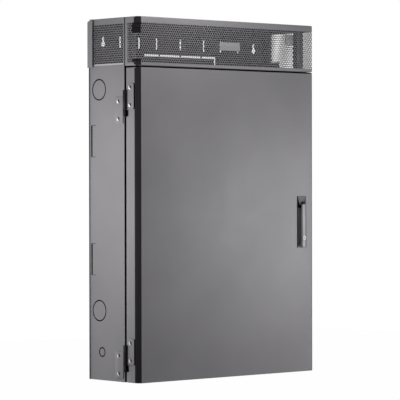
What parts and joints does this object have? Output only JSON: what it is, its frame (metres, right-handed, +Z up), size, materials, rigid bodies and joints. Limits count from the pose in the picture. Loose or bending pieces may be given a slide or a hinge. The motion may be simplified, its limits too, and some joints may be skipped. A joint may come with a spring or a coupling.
{
  "type": "wall mount network cabinet",
  "caption": "Shallow wall cabinet with a hinged front door, perforated vent hood, lever latch with lock and rails that hold rack equipment flat against the wall.",
  "frame": {"origin": "middle of the back face that lies on the wall, which is the centre of the four wall bolts", "axes": "+X to the right seen from the front, +Y into the wall, +Z up; the door faces -Y"},
  "size_m": [0.7299, 0.2327, 1.067],
  "materials": {
    "powder_coat": "satin grey powder coat, fine texture",
    "black_rail": "satin black",
    "black_hinge": "satin black",
    "zinc": "bright zinc",
    "badge": "bare satin plate",
    "handle_paint": "satin grey",
    "chrome": "polished",
    "lock_core": "machined"
  },
  "bodies": {
    "cabinet": {"back_panel": "powder_coat", "cable_entry_plate": "powder_coat", "side_wall_left": "powder_coat", "side_wall_right": "powder_coat", "floor_panel": "powder_coat", "roof_panel": "powder_coat", "rear_flange_left": "powder_coat", "rear_flange_right": "powder_coat", "side_screen_left": "powder_coat", "side_screen_right": "powder_coat", "corner_bracket_left": "powder_coat", "corner_bracket_right": "powder_coat", "vent_cover": "powder_coat", "cover_screen_front": "powder_coat", "cover_screen_bevel_left": "powder_coat", "cover_screen_bevel_right": "powder_coat", "cover_screen_side_left": "powder_coat", "cover_screen_side_right": "powder_coat", "cover_standoffs": "powder_coat", "rail_left": "black_rail", "rail_right": "black_rail", "support_left": "black_rail", "support_right": "black_rail", "rail_screws": "zinc", "earth_stud": "zinc", "badge_plate": "badge", "hinge_box_leaf_lower": "black_hinge", "hinge_box_leaf_upper": "black_hinge", "hinge_pin_lower": "zinc", "hinge_pin_upper": "zinc", "hinge_box_screws": "zinc"},
    "door": {"door_shell": "powder_coat", "door_channel_left": "powder_coat", "door_channel_right": "powder_coat", "hinge_door_leaf_lower": "black_hinge", "hinge_door_leaf_upper": "black_hinge", "hinge_door_screws": "zinc", "handle_cup": "handle_paint"},
    "spindle": {"handle_spindle": "zinc", "latch_cam": "zinc", "cam_nut": "zinc"},
    "lever": {"handle_lever": "handle_paint", "lever_pin": "zinc", "lock_ring": "chrome"},
    "plug": {"lock_plug": "lock_core"}
  },
  "joints": [
    {"name": "door_hinge", "type": "hinge", "parent": "cabinet", "child": "door", "pos_m": [-0.3607, -0.168, 0], "axis": [0, 0, -1], "range_deg": [0, 130]},
    {"name": "handle_turn", "type": "hinge", "parent": "door", "child": "spindle", "pos_m": [0.307, -0.2, -0.0235], "axis": [0, 1, 0], "range_deg": [0, 90]},
    {"name": "handle_lift", "type": "hinge", "parent": "spindle", "child": "lever", "pos_m": [0.307, -0.2277, -0.0235], "axis": [-1, 0, 0], "range_deg": [0, 35]},
    {"name": "key_turn", "type": "hinge", "parent": "lever", "child": "plug", "pos_m": [0.3049, -0.23, -0.1215], "axis": [0, 1, 0], "range_deg": [0, 90]}
  ]
}
